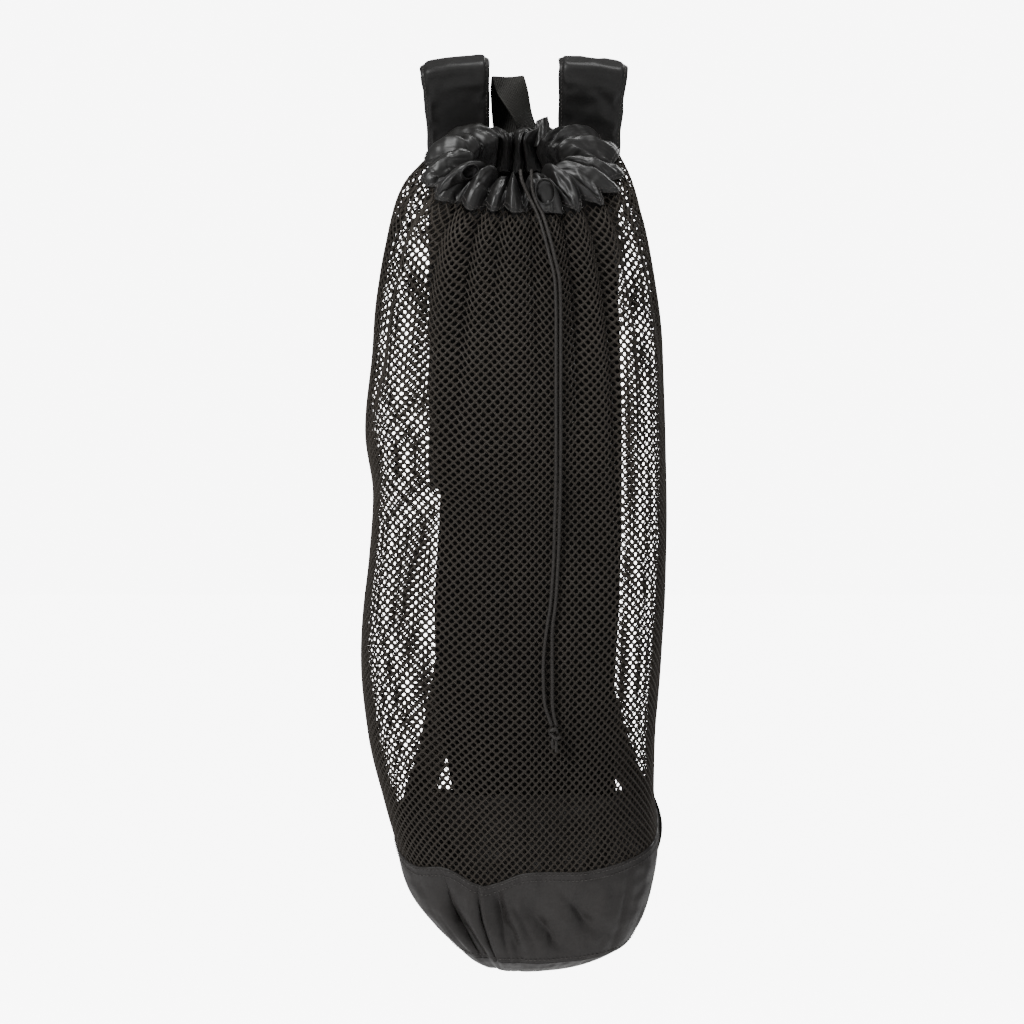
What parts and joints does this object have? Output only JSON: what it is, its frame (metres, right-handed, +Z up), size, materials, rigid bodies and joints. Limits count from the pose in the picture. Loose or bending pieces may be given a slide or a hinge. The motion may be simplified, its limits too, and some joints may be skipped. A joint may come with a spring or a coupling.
{
  "type": "mesh dive gear bag",
  "caption": "Tall drawstring bag of knitted net with a nylon collar, base and back panel, two padded shoulder straps and a webbing haul loop, hanging by its straps.",
  "frame": {"origin": "middle of the line where the two shoulder straps bear on the bar or hooks that they hang from", "axes": "+Z up along the bag's length, -Y towards the front net and the drawcord, +X to the right seen from the front"},
  "size_m": [0.2382, 0.1927, 0.7199],
  "materials": {
    "net": "knitted polyester net with round holes, dull, warm black",
    "nylon": "plain woven coated nylon, soft sheen",
    "casing_nylon": "smooth satin nylon, clear sheen on the folds",
    "strap_nylon": "plain woven black nylon over foam",
    "webbing": "ribbed woven webbing, dull",
    "cord": "thin braided cord",
    "slider_plastic": "moulded black plastic, fine grain"
  },
  "bodies": {
    "root": {"mesh_body_left": "net", "mesh_body_right": "net", "back_panel": "nylon", "base_skirt": "nylon", "base_panel": "nylon", "collar": "casing_nylon", "shoulder_strap_left": "strap_nylon", "shoulder_strap_right": "strap_nylon", "strap_webbing_left": "webbing", "strap_webbing_right": "webbing", "strap_slider_left": "slider_plastic", "strap_slider_right": "slider_plastic", "strap_anchor_left": "webbing", "strap_anchor_right": "webbing", "haul_loop": "webbing", "drawcord_left": "cord", "drawcord_right": "cord", "drawcord_knot": "cord"}
  },
  "joints": []
}
